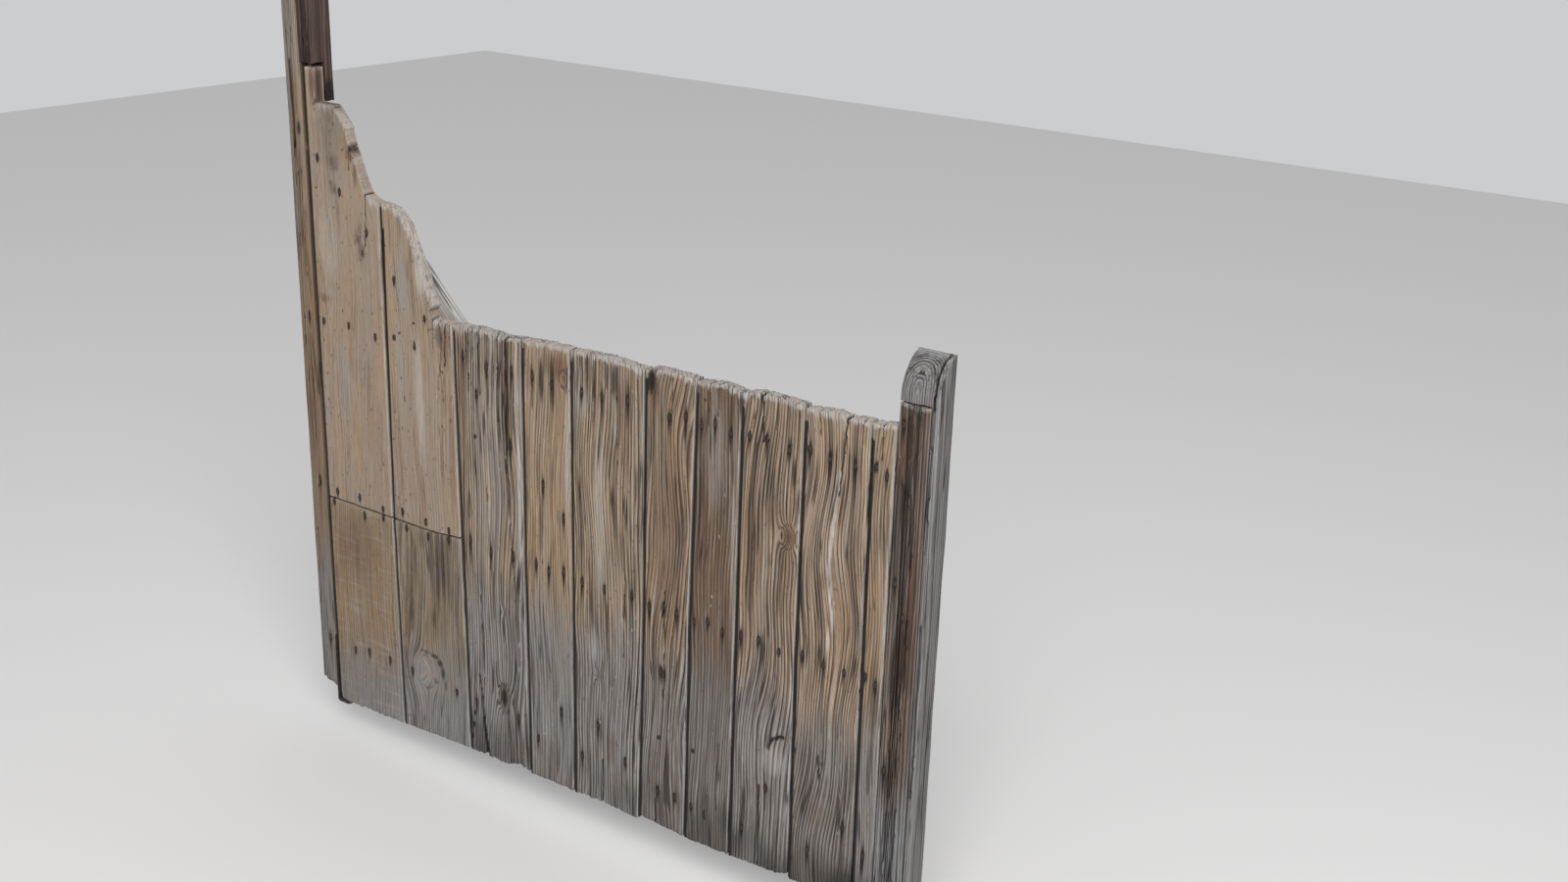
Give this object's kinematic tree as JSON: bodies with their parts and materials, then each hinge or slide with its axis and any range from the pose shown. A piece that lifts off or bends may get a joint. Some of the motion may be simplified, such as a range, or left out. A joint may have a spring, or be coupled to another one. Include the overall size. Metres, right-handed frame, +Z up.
{
  "type": "half door with jamb",
  "caption": "Weathered half door of upright planks on a ledged and braced frame, pivot-hung between a timber jamb and the foot of a head post, with a rounded lock stile.",
  "frame": {"origin": "on the back face of the jamb, on the centre line of its head, at the height of its lowest fixing nail", "axes": "+X along the wall from the hinge side to the lock side, +Y into the wall, +Z up"},
  "size_m": [1.304, 0.0842, 1.369],
  "materials": {
    "jamb_wood": "weathered, bare",
    "post_wood": "weathered, cracked",
    "pale_boards": "weathered, bare",
    "old_boards": "weathered, bare",
    "stile_wood": "weathered grey",
    "strip_wood": "weathered, grooved",
    "frame_wood": "weathered, bare",
    "peg_wood": "cut end grain",
    "nail_iron": "rusted",
    "forged_iron": "rusted, hammered"
  },
  "bodies": {
    "frame": {"jamb_board": "jamb_wood", "head_post": "post_wood", "jamb_nails": "nail_iron", "post_nail": "nail_iron", "top_pivot_pin": "forged_iron", "foot_pivot_bracket": "forged_iron", "pivot_washer": "forged_iron", "bracket_screws": "nail_iron"},
    "leaf": {"plank_1_upper": "pale_boards", "plank_2_upper": "pale_boards", "plank_1_lower": "old_boards", "plank_2_lower": "old_boards", "plank_3": "old_boards", "plank_4": "old_boards", "plank_5": "old_boards", "plank_6": "old_boards", "plank_7": "old_boards", "plank_8": "old_boards", "plank_9": "old_boards", "plank_10": "old_boards", "cover_strip": "strip_wood", "lock_stile": "stile_wood", "hinge_stile": "frame_wood", "top_rail": "frame_wood", "middle_rail": "frame_wood", "bottom_rail": "frame_wood", "brace_upper": "frame_wood", "brace_middle": "frame_wood", "brace_lower": "frame_wood", "tenon_pegs": "peg_wood", "top_rail_nails": "nail_iron", "middle_rail_nails": "nail_iron", "bottom_rail_nails": "nail_iron", "brace_nails": "nail_iron", "strip_nails": "nail_iron", "bolt_pad": "frame_wood", "bolt_keepers": "forged_iron", "keeper_nails": "nail_iron"},
    "bolt": {"sliding_bolt": "forged_iron"}
  },
  "joints": [
    {"name": "leaf_hinge", "type": "hinge", "parent": "frame", "child": "leaf", "pos_m": [0.0375, -0.036, 0.3], "axis": [0, 0, -1], "range_deg": [0, 105]},
    {"name": "bolt_slide", "type": "slide", "parent": "leaf", "child": "bolt", "axis": [1, 0, 0], "range_m": [0, 0.045]}
  ]
}
